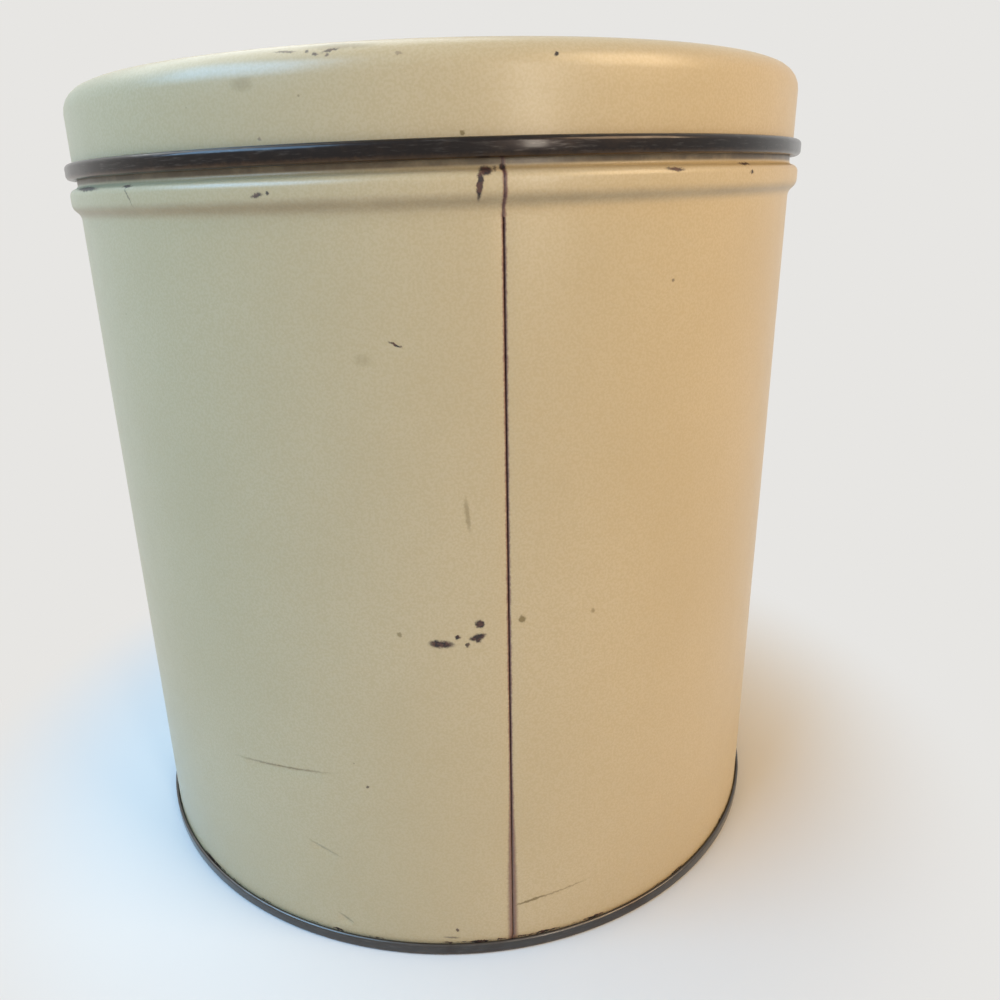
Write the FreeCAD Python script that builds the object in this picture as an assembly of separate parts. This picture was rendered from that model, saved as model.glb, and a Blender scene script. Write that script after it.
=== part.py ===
"""Round tinplate box with a slip lid, as three pieces of folded sheet.

Millimetres, +Z up. The origin is the centre of the ring that the box stands on.
The side seam of the body faces -Y.
"""

import FreeCAD, Part
import math
import os

from FreeCAD import Vector

# Driving dimensions of the box. Every bend radius below is that of the sheet's middle line.
SHEET = 0.28                 # tinplate thickness, all three pieces
BODY_RADIUS = 93.0           # outside of the body wall
LID_TOP_HEIGHT = 203.0       # standing plane to the flat of the lid
FOLD_GAP = 0.06              # air left between two folded layers

# Body: stop bead, neck and rolled mouth
BEAD_CREST_BOTTOM = 177.7    # the crest stands upright between these two heights
BEAD_CREST_TOP = 179.4
BEAD_PROUD = 1.8             # crest outside the wall
BEAD_LOWER_BEND = 2.5
BEAD_CREST_BEND = 2.2
BEAD_SHOULDER_BEND = 1.6
BEAD_UPPER_BEND = 1.0
NECK_STEP = 0.25             # the neck is this much smaller than the wall
MOUTH_HEIGHT = 199.4
MOUTH_BEND = 0.96
MOUTH_TURN = 305.0           # degrees that the mouth rolls inwards

# Body: lock seam down the side, and the plain lap past each end of it
LOCK_BOTTOM = 4.0
LOCK_TOP = 173.0
LOCK_WIDTH = 4.2             # overlap of the two hooks, along the wall
LOCK_SHOULDER_BEND = 0.3     # where the right-hand edge dips under the left-hand one
LAP_LINE_WIDTH = 0.5
LAP_LINE_DEPTH = 0.12

# Double seam between the body and the base
SEAM_HEIGHT = 3.2
SEAMING_BEND = 0.5
HOOK_TIP_ROOM = 0.22         # space left past the tip of each hook

# Base end
BASE_PANEL_HEIGHT = 3.7      # middle of the sheet above the standing plane
BASE_CORNER_BEND = 0.8
BASE_RING_RADIUS = 76.0
BASE_RING_BEND = 2.6
BASE_RING_RISE = 0.9

# Lid
LID_CLEARANCE = 0.2          # between the neck and the lid's skirt
LID_CORNER = 5.5             # outside radius of the lid's edge
LID_RIM_HEIGHT = 183.0       # lowest point of the curl
LID_CURL_WIDTH = 2.15        # across the oval curl, with the skirt's own sheet
LID_CURL_HEIGHT = 3.6
LID_CURL_TUCK = 130.0        # degrees that the top of the curl turns back in
LID_STEP_RADIUS = 78.0       # middle of the step down to the lid's panel
LID_STEP_DROP = 1.0
LID_STEP_BEND = 2.0

# Sizes that follow from those above
HALF = SHEET / 2
LAYER = SHEET + FOLD_GAP
HOOK_BEND = LAYER            # a fold round one more layer of sheet
WALL_MID = BODY_RADIUS - HALF
NECK_MID = WALL_MID - NECK_STEP
LID_SKIRT_MID = NECK_MID + SHEET + LID_CLEARANCE
HOOK_FLOOR = SHEET + 2 * FOLD_GAP + HALF + HOOK_BEND
HOOK_CEILING = SEAM_HEIGHT - HALF - HOOK_BEND

# Headings and turns, in degrees
OUT, UP, LEFT, DOWN = 0.0, 90.0, 180.0, -90.0
QUARTER_TURN, HALF_TURN, FULL_TURN = 90.0, 180.0, 360.0
LONGEST_ARC = 170.0

ORIGIN = Vector(0, 0, 0)
AXIS = Vector(0, 0, 1)


class SheetPath:
    """The middle line of a folded sheet: straight runs and tangent bends, left bends positive."""

    def __init__(self, start, heading):
        self.point = start
        self.heading = math.radians(heading)
        self.moves = []

    def _forward(self):
        return unit(self.heading)

    def run(self, length):
        end = self.point + length * self._forward()
        self.moves.append((self.point, end, 1j * self._forward()))
        self.point = end
        return self

    def run_up_to(self, height):
        return self.run((height - self.point.imag) / self._forward().imag)

    def run_out_to(self, radius):
        return self.run((radius - self.point.real) / self._forward().real)

    def bend(self, radius, degrees):
        """Turns in arcs that are each under a half circle."""
        count = math.ceil(abs(degrees) / LONGEST_ARC)
        for _ in range(count):
            turn = math.radians(degrees / count)
            centre = self.point + 1j * self._forward() * math.copysign(radius, degrees)
            arm = self.point - centre
            arc = [centre + arm * unit(turn * share) for share in (0, 0.5, 1)]
            self.moves.append((centre, arc, math.copysign(1, degrees)))
            self.point = arc[-1]
            self.heading += turn
        return self

    def jog(self, sideways, first_bend, second_bend):
        """Two opposite bends that shift the sheet sideways, left positive."""
        turn = math.copysign(jog_angle(abs(sideways), first_bend, second_bend), sideways)
        return self.bend(first_bend, turn).bend(second_bend, -turn)

    def _offset_edge(self, move, offset, place):
        """One run or bend moved to the left of the middle line."""
        if isinstance(move[1], complex):
            start, end, left = move
            return Part.LineSegment(place(start + offset * left), place(end + offset * left)).toShape()
        centre, arc, sense = move
        shrink = 1 - sense * offset / abs(arc[0] - centre)
        return Part.Arc(*[place(centre + (p - centre) * shrink) for p in arc]).toShape()

    def face(self, place, left=HALF, right=-HALF):
        """The section between two offsets of the middle line."""
        sides = [[self._offset_edge(move, offset, place) for move in self.moves] for offset in (left, right)]
        starts = [side[0].firstVertex(True).Point for side in sides]
        ends = [side[-1].lastVertex(True).Point for side in sides]
        caps = [Part.LineSegment(*pair).toShape() for pair in (starts, ends)]
        return Part.Face(Part.Wire(Part.__sortEdges__(sides[0] + sides[1] + caps)))


def unit(angle):
    return complex(math.cos(angle), math.sin(angle))


def jog_angle(sideways, first_bend, second_bend):
    return math.degrees(math.acos(1 - sideways / (first_bend + second_bend)))


def jog_length(sideways, first_bend, second_bend):
    """How far a jog goes forward."""
    turn = math.radians(jog_angle(sideways, first_bend, second_bend))
    return (first_bend + second_bend) * math.sin(turn)


def in_profile(p):
    """Radius and height, on the XZ plane."""
    return Vector(p.real, 0, p.imag)


def in_plan(p):
    return Vector(p.real, p.imag, 0)


def spun(face, degrees=FULL_TURN):
    return face.revolve(ORIGIN, AXIS, degrees)


def mouth_path():
    """Upper end of the body: stop bead, neck and the mouth's inward roll."""
    path = SheetPath(complex(WALL_MID, LOCK_TOP), UP)
    path.run_up_to(BEAD_CREST_BOTTOM - jog_length(BEAD_PROUD, BEAD_LOWER_BEND, BEAD_CREST_BEND))
    path.jog(-BEAD_PROUD, BEAD_LOWER_BEND, BEAD_CREST_BEND)
    path.run_up_to(BEAD_CREST_TOP)
    path.jog(BEAD_PROUD + NECK_STEP, BEAD_SHOULDER_BEND, BEAD_UPPER_BEND)
    path.run_up_to(MOUTH_HEIGHT - HALF - MOUTH_BEND)
    return path.bend(MOUTH_BEND, MOUTH_TURN)


def foot_path():
    """Lower end of the body: the wall, and its hook inside the double seam."""
    path = SheetPath(complex(WALL_MID, LOCK_BOTTOM), DOWN)
    path.run_up_to(HOOK_FLOOR)
    path.bend(HOOK_BEND, HALF_TURN)
    return path.run_up_to(HOOK_CEILING - HOOK_TIP_ROOM)


def lock_plan():
    """The wall seen from above, from the tip of one hook round to the tip of the other.

    Layers count inwards from the wall. The right-hand edge dips to the fourth layer and hooks back along
    the second. The left-hand edge folds round that hook to the third. From outside, only the groove
    between the fold and the dip shows.
    """
    wall, second, third, fourth = (WALL_MID - LAYER * n for n in range(4))
    lock_turn = math.degrees(LOCK_WIDTH / wall)
    tip_turn = math.degrees((HOOK_BEND + HOOK_TIP_ROOM) / wall)
    dip_centre = fourth + LOCK_SHOULDER_BEND
    dip_turn = math.degrees(math.asin(2 * LOCK_SHOULDER_BEND / dip_centre))
    dip_depth = wall - LOCK_SHOULDER_BEND - math.sqrt(dip_centre**2 - (2 * LOCK_SHOULDER_BEND)**2)
    groove_turn = math.degrees((HOOK_BEND + SHEET + FOLD_GAP + LOCK_SHOULDER_BEND) / wall)

    start = second * unit(math.radians(DOWN - tip_turn))
    path = SheetPath(start, LEFT - tip_turn)
    path.bend(second, -(lock_turn - tip_turn))
    path.bend(HOOK_BEND, -HALF_TURN)
    path.bend(fourth, lock_turn + groove_turn - dip_turn)
    path.bend(LOCK_SHOULDER_BEND, -(QUARTER_TURN - dip_turn))
    path.run(dip_depth)
    path.bend(LOCK_SHOULDER_BEND, QUARTER_TURN)
    path.bend(wall, FULL_TURN - groove_turn)
    path.bend(HOOK_BEND, HALF_TURN)
    return path.bend(third, -(lock_turn - tip_turn))


def lap_line(path, outward):
    """A shallow cut along the outside of a profile, where the seam is only lapped.

    Outward is -1 where the outside lies to the right of the profile, and 1 where it lies to the left.
    """
    band = path.face(in_profile, outward * (HALF - LAP_LINE_DEPTH), outward * (HALF + LAP_LINE_DEPTH))
    cut = spun(band, math.degrees(LAP_LINE_WIDTH / BODY_RADIUS))
    cut.rotate(ORIGIN, AXIS, -QUARTER_TURN)
    return cut


def body_wall():
    wall = lock_plan().face(in_plan).extrude(Vector(0, 0, LOCK_TOP - LOCK_BOTTOM))
    wall.translate(Vector(0, 0, LOCK_BOTTOM))
    neck_line = mouth_path()
    roll_arcs = math.ceil(MOUTH_TURN / LONGEST_ARC)
    neck_line.moves = neck_line.moves[:-roll_arcs]
    foot_line = SheetPath(complex(WALL_MID, LOCK_BOTTOM), DOWN).run_up_to(SEAM_HEIGHT)
    mouth = spun(mouth_path().face(in_profile)).cut(lap_line(neck_line, -1))
    foot = spun(foot_path().face(in_profile)).cut(lap_line(foot_line, 1))
    return wall.fuse([mouth, foot])


def base_end():
    """Recessed panel with one stiffening ring, and the hooked edge that grips the body's hook."""
    chuck_mid = WALL_MID - LAYER
    seaming_mid = WALL_MID + 3 * LAYER
    ring_turn = jog_angle(BASE_RING_RISE, BASE_RING_BEND, BASE_RING_BEND)
    ring_half = jog_length(BASE_RING_RISE, BASE_RING_BEND, BASE_RING_BEND)
    path = SheetPath(complex(0, BASE_PANEL_HEIGHT), OUT)
    path.run_out_to(BASE_RING_RADIUS - ring_half)
    path.bend(BASE_RING_BEND, ring_turn)
    path.bend(BASE_RING_BEND, -2 * ring_turn)
    path.bend(BASE_RING_BEND, ring_turn)
    path.run_out_to(chuck_mid - BASE_CORNER_BEND)
    path.bend(BASE_CORNER_BEND, -QUARTER_TURN)
    path.run_up_to(HALF + SEAMING_BEND)
    path.bend(SEAMING_BEND, QUARTER_TURN)
    path.run_out_to(seaming_mid - SEAMING_BEND)
    path.bend(SEAMING_BEND, QUARTER_TURN)
    path.run_up_to(HOOK_CEILING)
    path.bend(HOOK_BEND, HALF_TURN)
    path.run_up_to(HOOK_FLOOR + HOOK_TIP_ROOM)
    return spun(path.face(in_profile))


def slip_lid():
    """Drawn cap: stepped panel, rounded edge, skirt, and a rim curled outwards to an oval."""
    corner_bend = LID_CORNER - HALF
    curl_bend = LID_CURL_WIDTH / 2 - HALF
    step_half = jog_length(LID_STEP_DROP, LID_STEP_BEND, LID_STEP_BEND) / 2
    path = SheetPath(complex(0, LID_TOP_HEIGHT - LID_STEP_DROP - HALF), OUT)
    path.run_out_to(LID_STEP_RADIUS - step_half)
    path.jog(LID_STEP_DROP, LID_STEP_BEND, LID_STEP_BEND)
    path.run_out_to(LID_SKIRT_MID - corner_bend)
    path.bend(corner_bend, -QUARTER_TURN)
    path.run_up_to(LID_RIM_HEIGHT + LID_CURL_WIDTH / 2)
    path.bend(curl_bend, HALF_TURN)
    path.run_up_to(LID_RIM_HEIGHT + LID_CURL_HEIGHT - LID_CURL_WIDTH / 2)
    path.bend(curl_bend, LID_CURL_TUCK)
    return spun(path.face(in_profile))


def main():
    os.makedirs("parts", exist_ok=True)
    pieces = {"body_wall": body_wall(), "base_end": base_end(), "slip_lid": slip_lid()}
    for name, shape in pieces.items():
        state = "valid" if shape.isValid() else "not valid"
        print(f"{name}: {len(shape.Solids)} solid, {state}, {shape.Volume:.0f} mm3")
        shape.exportStep(f"parts/{name}.step")


main()
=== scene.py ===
import math

import bmesh
import bpy
from mathutils import Matrix, Vector


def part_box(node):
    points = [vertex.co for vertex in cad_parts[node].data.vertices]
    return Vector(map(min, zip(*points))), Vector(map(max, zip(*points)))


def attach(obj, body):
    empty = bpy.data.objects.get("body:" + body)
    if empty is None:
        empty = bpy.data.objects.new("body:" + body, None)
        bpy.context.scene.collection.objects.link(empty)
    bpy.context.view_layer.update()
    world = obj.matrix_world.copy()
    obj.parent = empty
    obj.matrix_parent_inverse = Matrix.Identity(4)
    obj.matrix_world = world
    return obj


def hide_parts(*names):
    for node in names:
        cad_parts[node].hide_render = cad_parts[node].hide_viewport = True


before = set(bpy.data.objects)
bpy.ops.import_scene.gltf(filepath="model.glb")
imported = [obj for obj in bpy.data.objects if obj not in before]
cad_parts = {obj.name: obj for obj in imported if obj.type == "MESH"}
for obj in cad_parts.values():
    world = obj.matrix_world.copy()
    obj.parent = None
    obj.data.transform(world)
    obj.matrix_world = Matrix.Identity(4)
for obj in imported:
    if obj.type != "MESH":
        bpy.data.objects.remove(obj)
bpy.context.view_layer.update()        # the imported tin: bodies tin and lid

bl_info = {
    "name": "Worn slip-lid tin",
    "version": (1, 0, 0),
    "blender": (4, 5, 0),
    "location": "3D View > Sidebar > Tin",
    "description": "Models a round cream slip-lid tin from folded sheet and sets it on a pale studio floor",
    "category": "Add Mesh",
}

MM = 0.001
UP, DOWN, OUT, LEFT = math.pi / 2, -math.pi / 2, 0.0, math.pi
QUARTER, HALF_TURN, FULL = math.pi / 2, math.pi, 2 * math.pi

# Fineness of the meshes
COLUMNS = 216                    # round the tin
WALL_ROWS = 42                   # up the plain wall
BEND_STEP = math.radians(16)
LONGEST_STEP = 4 * MM
MERGE = 0.02 * MM
LAP_LIP_SHARE = 0.1              # each sloping side of the lapped line, as a share of its width
SMOOTH_ANGLE = math.radians(38)

WALL_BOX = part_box("body_wall")
LID_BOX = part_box("slip_lid")
BEAD_PROUD = 1.8 * MM


def length(name, description, default):
    return bpy.props.FloatProperty(
        name=name, description=description, default=default, min=0.0, unit="LENGTH", precision=5)


def angle(name, description, degrees):
    return bpy.props.FloatProperty(
        name=name, description=description, default=math.radians(degrees), subtype="ANGLE")


def colour(name, description, default):
    return bpy.props.FloatVectorProperty(
        name=name, description=description, default=default, size=3, min=0.0, max=1.0, subtype="COLOR")


def amount(name, description, default):
    return bpy.props.FloatProperty(name=name, description=description, default=default, min=0.0)


# Sizes and finishes that a user would change

class TinSheetSizes(bpy.types.PropertyGroup):
    sheet: length("Sheet", "Thickness of the tinplate", 0.28 * MM)
    fold_gap: length("Fold gap", "Air between two folded layers", 0.06 * MM)
    tip_room: length("Tip room", "Space past the tip of each hook", 0.22 * MM)
    wall_radius: length("Wall radius", "Outside of the body wall", WALL_BOX[1].x - BEAD_PROUD)
    bead_proud: length("Bead proud", "Crest of the stop bead outside the wall", BEAD_PROUD)
    crest_bottom: length("Crest bottom", "Floor to the foot of the bead's upright crest", 177.7 * MM)
    crest_top: length("Crest top", "Floor to the top of the bead's upright crest", 179.4 * MM)
    bead_lower_bend: length("Bead lower bend", "Radius where the wall turns out", 2.5 * MM)
    bead_crest_bend: length("Bead crest bend", "Radius below the bead's crest", 2.2 * MM)
    bead_shoulder_bend: length("Bead shoulder bend", "Radius above the bead's crest", 1.6 * MM)
    bead_upper_bend: length("Bead upper bend", "Radius where the bead meets the neck", 1.0 * MM)
    neck_step: length("Neck step", "How much smaller the neck is than the wall", 0.25 * MM)
    mouth_height: length("Mouth height", "Floor to the top of the rolled mouth", WALL_BOX[1].z)
    mouth_bend: length("Mouth bend", "Radius of the mouth's roll", 0.96 * MM)
    mouth_turn: angle("Mouth turn", "How far the mouth rolls inwards", 305)
    lock_bottom: length("Lock bottom", "Floor to the foot of the lock seam", 4.0 * MM)
    lock_top: length("Lock top", "Floor to the top of the lock seam", 173.0 * MM)
    lock_width: length("Lock width", "Overlap of the two hooks", 4.2 * MM)
    lock_shoulder: length("Lock shoulder", "Radius where one edge dips under the other", 0.3 * MM)
    lap_width: length("Lap width", "Width of the lapped line past the lock", 0.5 * MM)
    lap_depth: length("Lap depth", "Depth of the lapped line past the lock", 0.12 * MM)
    crease_depth: length("Crease depth", "Depth of the knocks in the wall", 0.7 * MM)
    wall_wave: length("Wall wave", "Unevenness of the hand-worn wall", 0.16 * MM)


class TinEndSizes(bpy.types.PropertyGroup):
    seam_height: length("Seam height", "Height of the double seam", 3.2 * MM)
    seaming_bend: length("Seaming bend", "Radius of the double seam's edges", 0.5 * MM)
    panel_height: length("Panel height", "Floor to the base panel", 3.7 * MM)
    panel_corner: length("Panel corner", "Radius at the panel's edge", 0.8 * MM)
    ring_radius: length("Ring radius", "Stiffening ring of the base panel", 76.0 * MM)
    ring_bend: length("Ring bend", "Radius of the stiffening ring", 2.6 * MM)
    ring_rise: length("Ring rise", "Height of the stiffening ring", 0.9 * MM)
    lid_top: length("Lid top", "Floor to the flat of the lid", LID_BOX[1].z)
    lid_rim: length("Lid rim", "Floor to the lowest point of the curl", LID_BOX[0].z)
    lid_clearance: length("Lid clearance", "Between the neck and the skirt", 0.2 * MM)
    lid_corner: length("Lid corner", "Outside radius of the lid's edge", 5.5 * MM)
    curl_width: length("Curl width", "Across the oval curl, with the skirt's own sheet", 2.15 * MM)
    curl_height: length("Curl height", "Height of the oval curl", 3.6 * MM)
    curl_tuck: angle("Curl tuck", "How far the top of the curl turns back in", 130)
    step_radius: length("Step radius", "Step down to the lid's panel", 78.0 * MM)
    step_drop: length("Step drop", "Depth of that step", 1.0 * MM)
    step_bend: length("Step bend", "Radius of that step", 2.0 * MM)


class TinFinishes(bpy.types.PropertyGroup):
    cream: colour("Cream", "Sound enamel", (0.500, 0.385, 0.222))
    pale_cream: colour("Pale cream", "Enamel where it is least aged", (0.530, 0.412, 0.245))
    aged_cream: colour("Aged cream", "Enamel that has yellowed", (0.440, 0.322, 0.165))
    # Grime paints dirt and shade on the neck under the lid's curl, and shade in the bead's trough.
    grime_and_shade: colour("Grime", "Dirt that settles by seams and bead", (0.085, 0.054, 0.030))
    rust: colour("Rust", "Edges of chips and the side seam", (0.075, 0.030, 0.020))
    seam: colour("Seam", "Dark red-brown line of the side seam", (0.085, 0.034, 0.030))
    seam_rust: colour("Seam rust", "Red-brown beside the side seam", (0.190, 0.085, 0.062))
    bared: colour("Bared", "Dark sheet inside a chip", (0.018, 0.011, 0.010))
    # Olive also paints the shade along the knocks' lines.
    olive: colour("Olive", "Thin chips and old scratches", (0.190, 0.130, 0.045))
    tarnish: colour("Tarnish", "Darkened bare tinplate", (0.014, 0.010, 0.009))
    tin: colour("Tin", "Clean bare tinplate", (0.400, 0.375, 0.345))
    # Stain also paints the cream bead's reflection along the lid curl's lowest edge.
    stain: colour("Stain", "Brown stain on tinplate", (0.170, 0.095, 0.045))


class TinStage(bpy.types.PropertyGroup):
    camera_distance: length("Camera distance", "Camera to the tin's axis, along the floor", 251.44 * MM)
    camera_height: length("Camera height", "Camera above the floor", 177.76 * MM)
    camera_round: angle("Camera round", "How far the camera stands left of the side seam", 7.196)
    camera_pan: angle("Camera pan", "Turn to the right of the tin's axis", 0.55)
    camera_tilt: angle("Camera tilt", "Tilt down", 19.274)
    camera_roll: angle("Camera roll", "Roll of the camera", -2.005)
    lens: amount("Lens", "Focal length on a 36 mm sensor", 30.287)
    shift_x: bpy.props.FloatProperty(name="Shift across", description="Lens shift", default=0.0456)
    shift_y: bpy.props.FloatProperty(name="Shift up", description="Lens shift", default=-0.0148)
    floor: colour("Floor", "Pale floor", (0.74, 0.72, 0.69))
    backdrop: colour("Backdrop", "Pale background", (0.80, 0.79, 0.77))
    window_tint: colour("Window tint", "Cool light from the left", (0.29, 0.61, 1.0))
    lamp_tint: colour("Lamp tint", "Warm light from the right", (1.0, 0.74, 0.45))
    top_tint: colour("Top tint", "Light from above and behind", (0.86, 0.95, 1.0))
    strip_tint: colour("Strip tint", "Narrow light behind the camera", (1.0, 0.90, 0.76))
    window_watts: amount("Window watts", "Light from the left", 15.5)
    lamp_watts: amount("Lamp watts", "Light from the right", 11.0)
    top_watts: amount("Top watts", "Light from above", 7.5)
    strip_watts: amount("Strip watts", "Narrow light behind the camera", 3.0)
    room_light: amount("Room light", "Even light from all round", 0.16)


# Drawing sheet metal in edit mode

class SheetPen:
    """Draws the middle line of a folded sheet from what is selected, by runs and tangent bends.

    A bend to the left is positive.
    """

    def __init__(self, place, axis, start, heading):
        self.place = place
        self.axis = axis
        self.point = start
        self.heading = heading

    def forward(self):
        return complex(math.cos(self.heading), math.sin(self.heading))

    def run(self, distance, steps=0):
        steps = steps or max(1, math.ceil(distance / LONGEST_STEP))
        stride = self.place(distance / steps * self.forward()) - self.place(0j)
        for _ in range(steps):
            bpy.ops.mesh.extrude_region_move(TRANSFORM_OT_translate={"value": stride})
        self.point += distance * self.forward()
        return self

    def run_up_to(self, height, steps=0):
        return self.run((height - self.point.imag) / self.forward().imag, steps)

    def run_out_to(self, radius, steps=0):
        return self.run((radius - self.point.real) / self.forward().real, steps)

    def bend(self, radius, turn, steps=0):
        """The spin operator counts turns clockwise round its axis."""
        steps = steps or max(2, math.ceil(abs(turn) / BEND_STEP))
        side = 1j * self.forward() * math.copysign(radius, turn)
        centre = self.point + side
        bpy.ops.mesh.spin(steps=steps, angle=-turn, center=self.place(centre), axis=self.axis)
        self.point = centre - side * complex(math.cos(turn), math.sin(turn))
        self.heading += turn
        return self

    def jog(self, sideways, first, second):
        turn = math.copysign(jog_turn(abs(sideways), first, second), sideways)
        return self.bend(first, turn).bend(second, -turn)


def jog_turn(sideways, first, second):
    return math.acos(1 - sideways / (first + second))


def jog_length(sideways, first, second):
    return (first + second) * math.sin(jog_turn(sideways, first, second))


def on_section(p):
    """Radius and height, on the upright plane through the side seam."""
    return Vector((0, -p.real, p.imag))


def section_pen(start, heading):
    return SheetPen(on_section, (-1, 0, 0), start, heading)


def edit_mode():
    bpy.ops.object.mode_set(mode="EDIT")


def object_mode():
    bpy.ops.object.mode_set(mode="OBJECT")


def clear_selection():
    if bpy.context.object and bpy.context.object.mode != "OBJECT":
        object_mode()
    bpy.ops.object.select_all(action="DESELECT")


def start_point(name, place):
    """A new mesh of one selected vertex, left in edit mode."""
    clear_selection()
    bpy.ops.mesh.primitive_plane_add(size=MM)
    piece = bpy.context.object
    piece.name = name
    piece.data.name = name
    edit_mode()
    bpy.ops.mesh.select_mode(type="VERT")
    bpy.ops.mesh.merge(type="CENTER")
    bpy.ops.transform.translate(value=place)
    return piece


def spin_round(turn, steps):
    bpy.ops.mesh.spin(steps=steps, angle=-turn, center=(0, 0, 0), axis=(0, 0, 1))


def whole_ring(steps=COLUMNS):
    """Spins the drawn section once round the tin."""
    bpy.ops.mesh.select_all(action="SELECT")
    spin_round(FULL, steps)


def lapped_ring(sizes):
    """Spins the drawn section round, with the shallow line of the lapped seam at its start."""
    lip = LAP_LIP_SHARE * sizes.lap_width
    strides = (lip, sizes.lap_width - 2 * lip, lip, groove_width(sizes) - sizes.lap_width)
    sinks = (sizes.lap_depth, 0, -sizes.lap_depth, 0)
    bpy.ops.mesh.select_all(action="SELECT")
    for stride, sink in zip(strides, sinks):
        spin_round(stride / wall_middle(sizes), 1)
        bpy.ops.transform.translate(value=(0, sink, 0))
    spin_round(FULL - groove_width(sizes) / wall_middle(sizes), COLUMNS)


def close_up(piece, spot, facing):
    """Merges doubles and turns the faces so that the one nearest to a spot faces the given way."""
    bpy.ops.mesh.select_all(action="SELECT")
    bpy.ops.mesh.remove_doubles(threshold=MERGE)
    bpy.ops.mesh.normals_make_consistent(inside=False)
    object_mode()
    nearest = min(piece.data.polygons, key=lambda face: (face.center - Vector(spot)).length)
    if nearest.normal.dot(Vector(facing)) < 0:
        edit_mode()
        bpy.ops.mesh.flip_normals()
        object_mode()


def apply_modifier(piece, kind, **values):
    modifier = piece.modifiers.new(kind.title(), kind)
    for key, value in values.items():
        setattr(modifier, key, value)
    bpy.ops.object.modifier_apply(modifier=modifier.name)


def give_thickness(piece, sheet, outside, inside):
    piece.data.materials.clear()
    piece.data.materials.append(outside)
    piece.data.materials.append(inside)
    apply_modifier(piece, "SOLIDIFY", thickness=sheet, offset=0.0, use_even_offset=True,
                   material_offset=1, material_offset_rim=1)
    bpy.ops.object.shade_smooth_by_angle(angle=SMOOTH_ANGLE)


def seat(piece, body, node):
    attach(piece, body)
    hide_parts(node)


# Sizes that follow from the folds

def wall_middle(sizes):
    return sizes.wall_radius - sizes.sheet / 2


def layer(sizes):
    return sizes.sheet + sizes.fold_gap


def groove_width(sizes):
    """From the fold of one edge to the shoulder of the other."""
    return layer(sizes) + sizes.sheet + sizes.fold_gap + sizes.lock_shoulder


def hook_floor(sizes):
    return 1.5 * sizes.sheet + 2 * sizes.fold_gap + layer(sizes)


def hook_ceiling(sizes, ends):
    return ends.seam_height - sizes.sheet / 2 - layer(sizes)


# Body

# Knocks in the wall, as distances along it from the side seam and up from the floor
WALL_CREASES = (
    ((-67.0, 47.7), (-44.4, 50.4), 1.0),
    ((-48.8, 29.3), (-42.0, 26.7), 0.6),
    ((-43.0, 8.6), (-39.4, 6.4), 0.5),
)
CREASE_REACH = 6.0               # pressed this far below its line
CREASE_FADE = CREASE_REACH / 3
CREASE_EDGE = 0.4                # half width of the steep side
CREASE_BLUNTNESS = 0.7           # of its two ends
CREASE_CUTS = 7
CREASE_MARGIN = 4.0              # divided finely beside and above a knock
CREASE_FOOT_MARGIN = 2.0         # and below its reach
FOOT_TRUE, TOP_TRUE = 2.0, 4.0   # wall left true at its foot and its top
SEAM_TRUE = 8.0                  # and on each side of the side seam
SWELL_START = 6.0                # the wall's swell starts this far above its foot
SWELL_EASE_UP, SWELL_EASE_ALONG = 25.0, 30.0
SWELL_SCALE = 0.055


def lock_wall(sizes):
    """The plain wall, from the tip of one hook round to the tip of the other."""
    bend, wall = layer(sizes), wall_middle(sizes)
    second, third, fourth = (wall - n * layer(sizes) for n in (1, 2, 3))
    lock = sizes.lock_width / wall
    tip = (bend + sizes.tip_room) / wall
    groove = groove_width(sizes) / wall
    shoulder = sizes.lock_shoulder
    dip_centre = fourth + shoulder
    dip = math.asin(2 * shoulder / dip_centre)
    dip_depth = wall - shoulder - math.sqrt(dip_centre**2 - (2 * shoulder)**2)
    start = second * complex(math.cos(DOWN - tip), math.sin(DOWN - tip))

    piece = start_point("body_shell", Vector((start.real, start.imag, sizes.lock_bottom)))
    rise = (sizes.lock_top - sizes.lock_bottom) / WALL_ROWS
    for _ in range(WALL_ROWS):
        bpy.ops.mesh.extrude_region_move(TRANSFORM_OT_translate={"value": (0, 0, rise)})
    bpy.ops.mesh.select_all(action="SELECT")
    pen = SheetPen(lambda p: Vector((p.real, p.imag, 0)), (0, 0, 1), start, LEFT - tip)
    pen.bend(second, tip - lock)
    pen.bend(bend, -HALF_TURN)
    pen.bend(fourth, lock + groove - dip)
    pen.bend(shoulder, dip - QUARTER)
    pen.run(dip_depth)
    pen.bend(shoulder, QUARTER)
    pen.bend(wall, FULL - groove, COLUMNS)
    pen.bend(bend, HALF_TURN)
    pen.bend(third, tip - lock)
    object_mode()
    return piece


def body_mouth(sizes):
    """Stop bead, neck and the mouth's inward roll."""
    wall = wall_middle(sizes)
    piece = start_point("body_mouth", on_section(complex(wall, sizes.lock_top)))
    pen = section_pen(complex(wall, sizes.lock_top), UP)
    flank = jog_length(sizes.bead_proud, sizes.bead_lower_bend, sizes.bead_crest_bend)
    pen.run_up_to(sizes.crest_bottom - flank)
    pen.jog(-sizes.bead_proud, sizes.bead_lower_bend, sizes.bead_crest_bend)
    pen.run_up_to(sizes.crest_top)
    pen.jog(sizes.bead_proud + sizes.neck_step, sizes.bead_shoulder_bend, sizes.bead_upper_bend)
    pen.run_up_to(sizes.mouth_height - sizes.sheet / 2 - sizes.mouth_bend)
    pen.bend(sizes.mouth_bend, sizes.mouth_turn)
    lapped_ring(sizes)
    object_mode()
    return piece


def body_foot(sizes, ends):
    """The wall's foot and its hook inside the double seam."""
    wall = wall_middle(sizes)
    piece = start_point("body_foot", on_section(complex(wall, sizes.lock_bottom)))
    pen = section_pen(complex(wall, sizes.lock_bottom), DOWN)
    pen.run_up_to(hook_floor(sizes))
    pen.bend(layer(sizes), HALF_TURN)
    pen.run_up_to(hook_ceiling(sizes, ends) - sizes.tip_room)
    lapped_ring(sizes)
    object_mode()
    return piece


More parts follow.
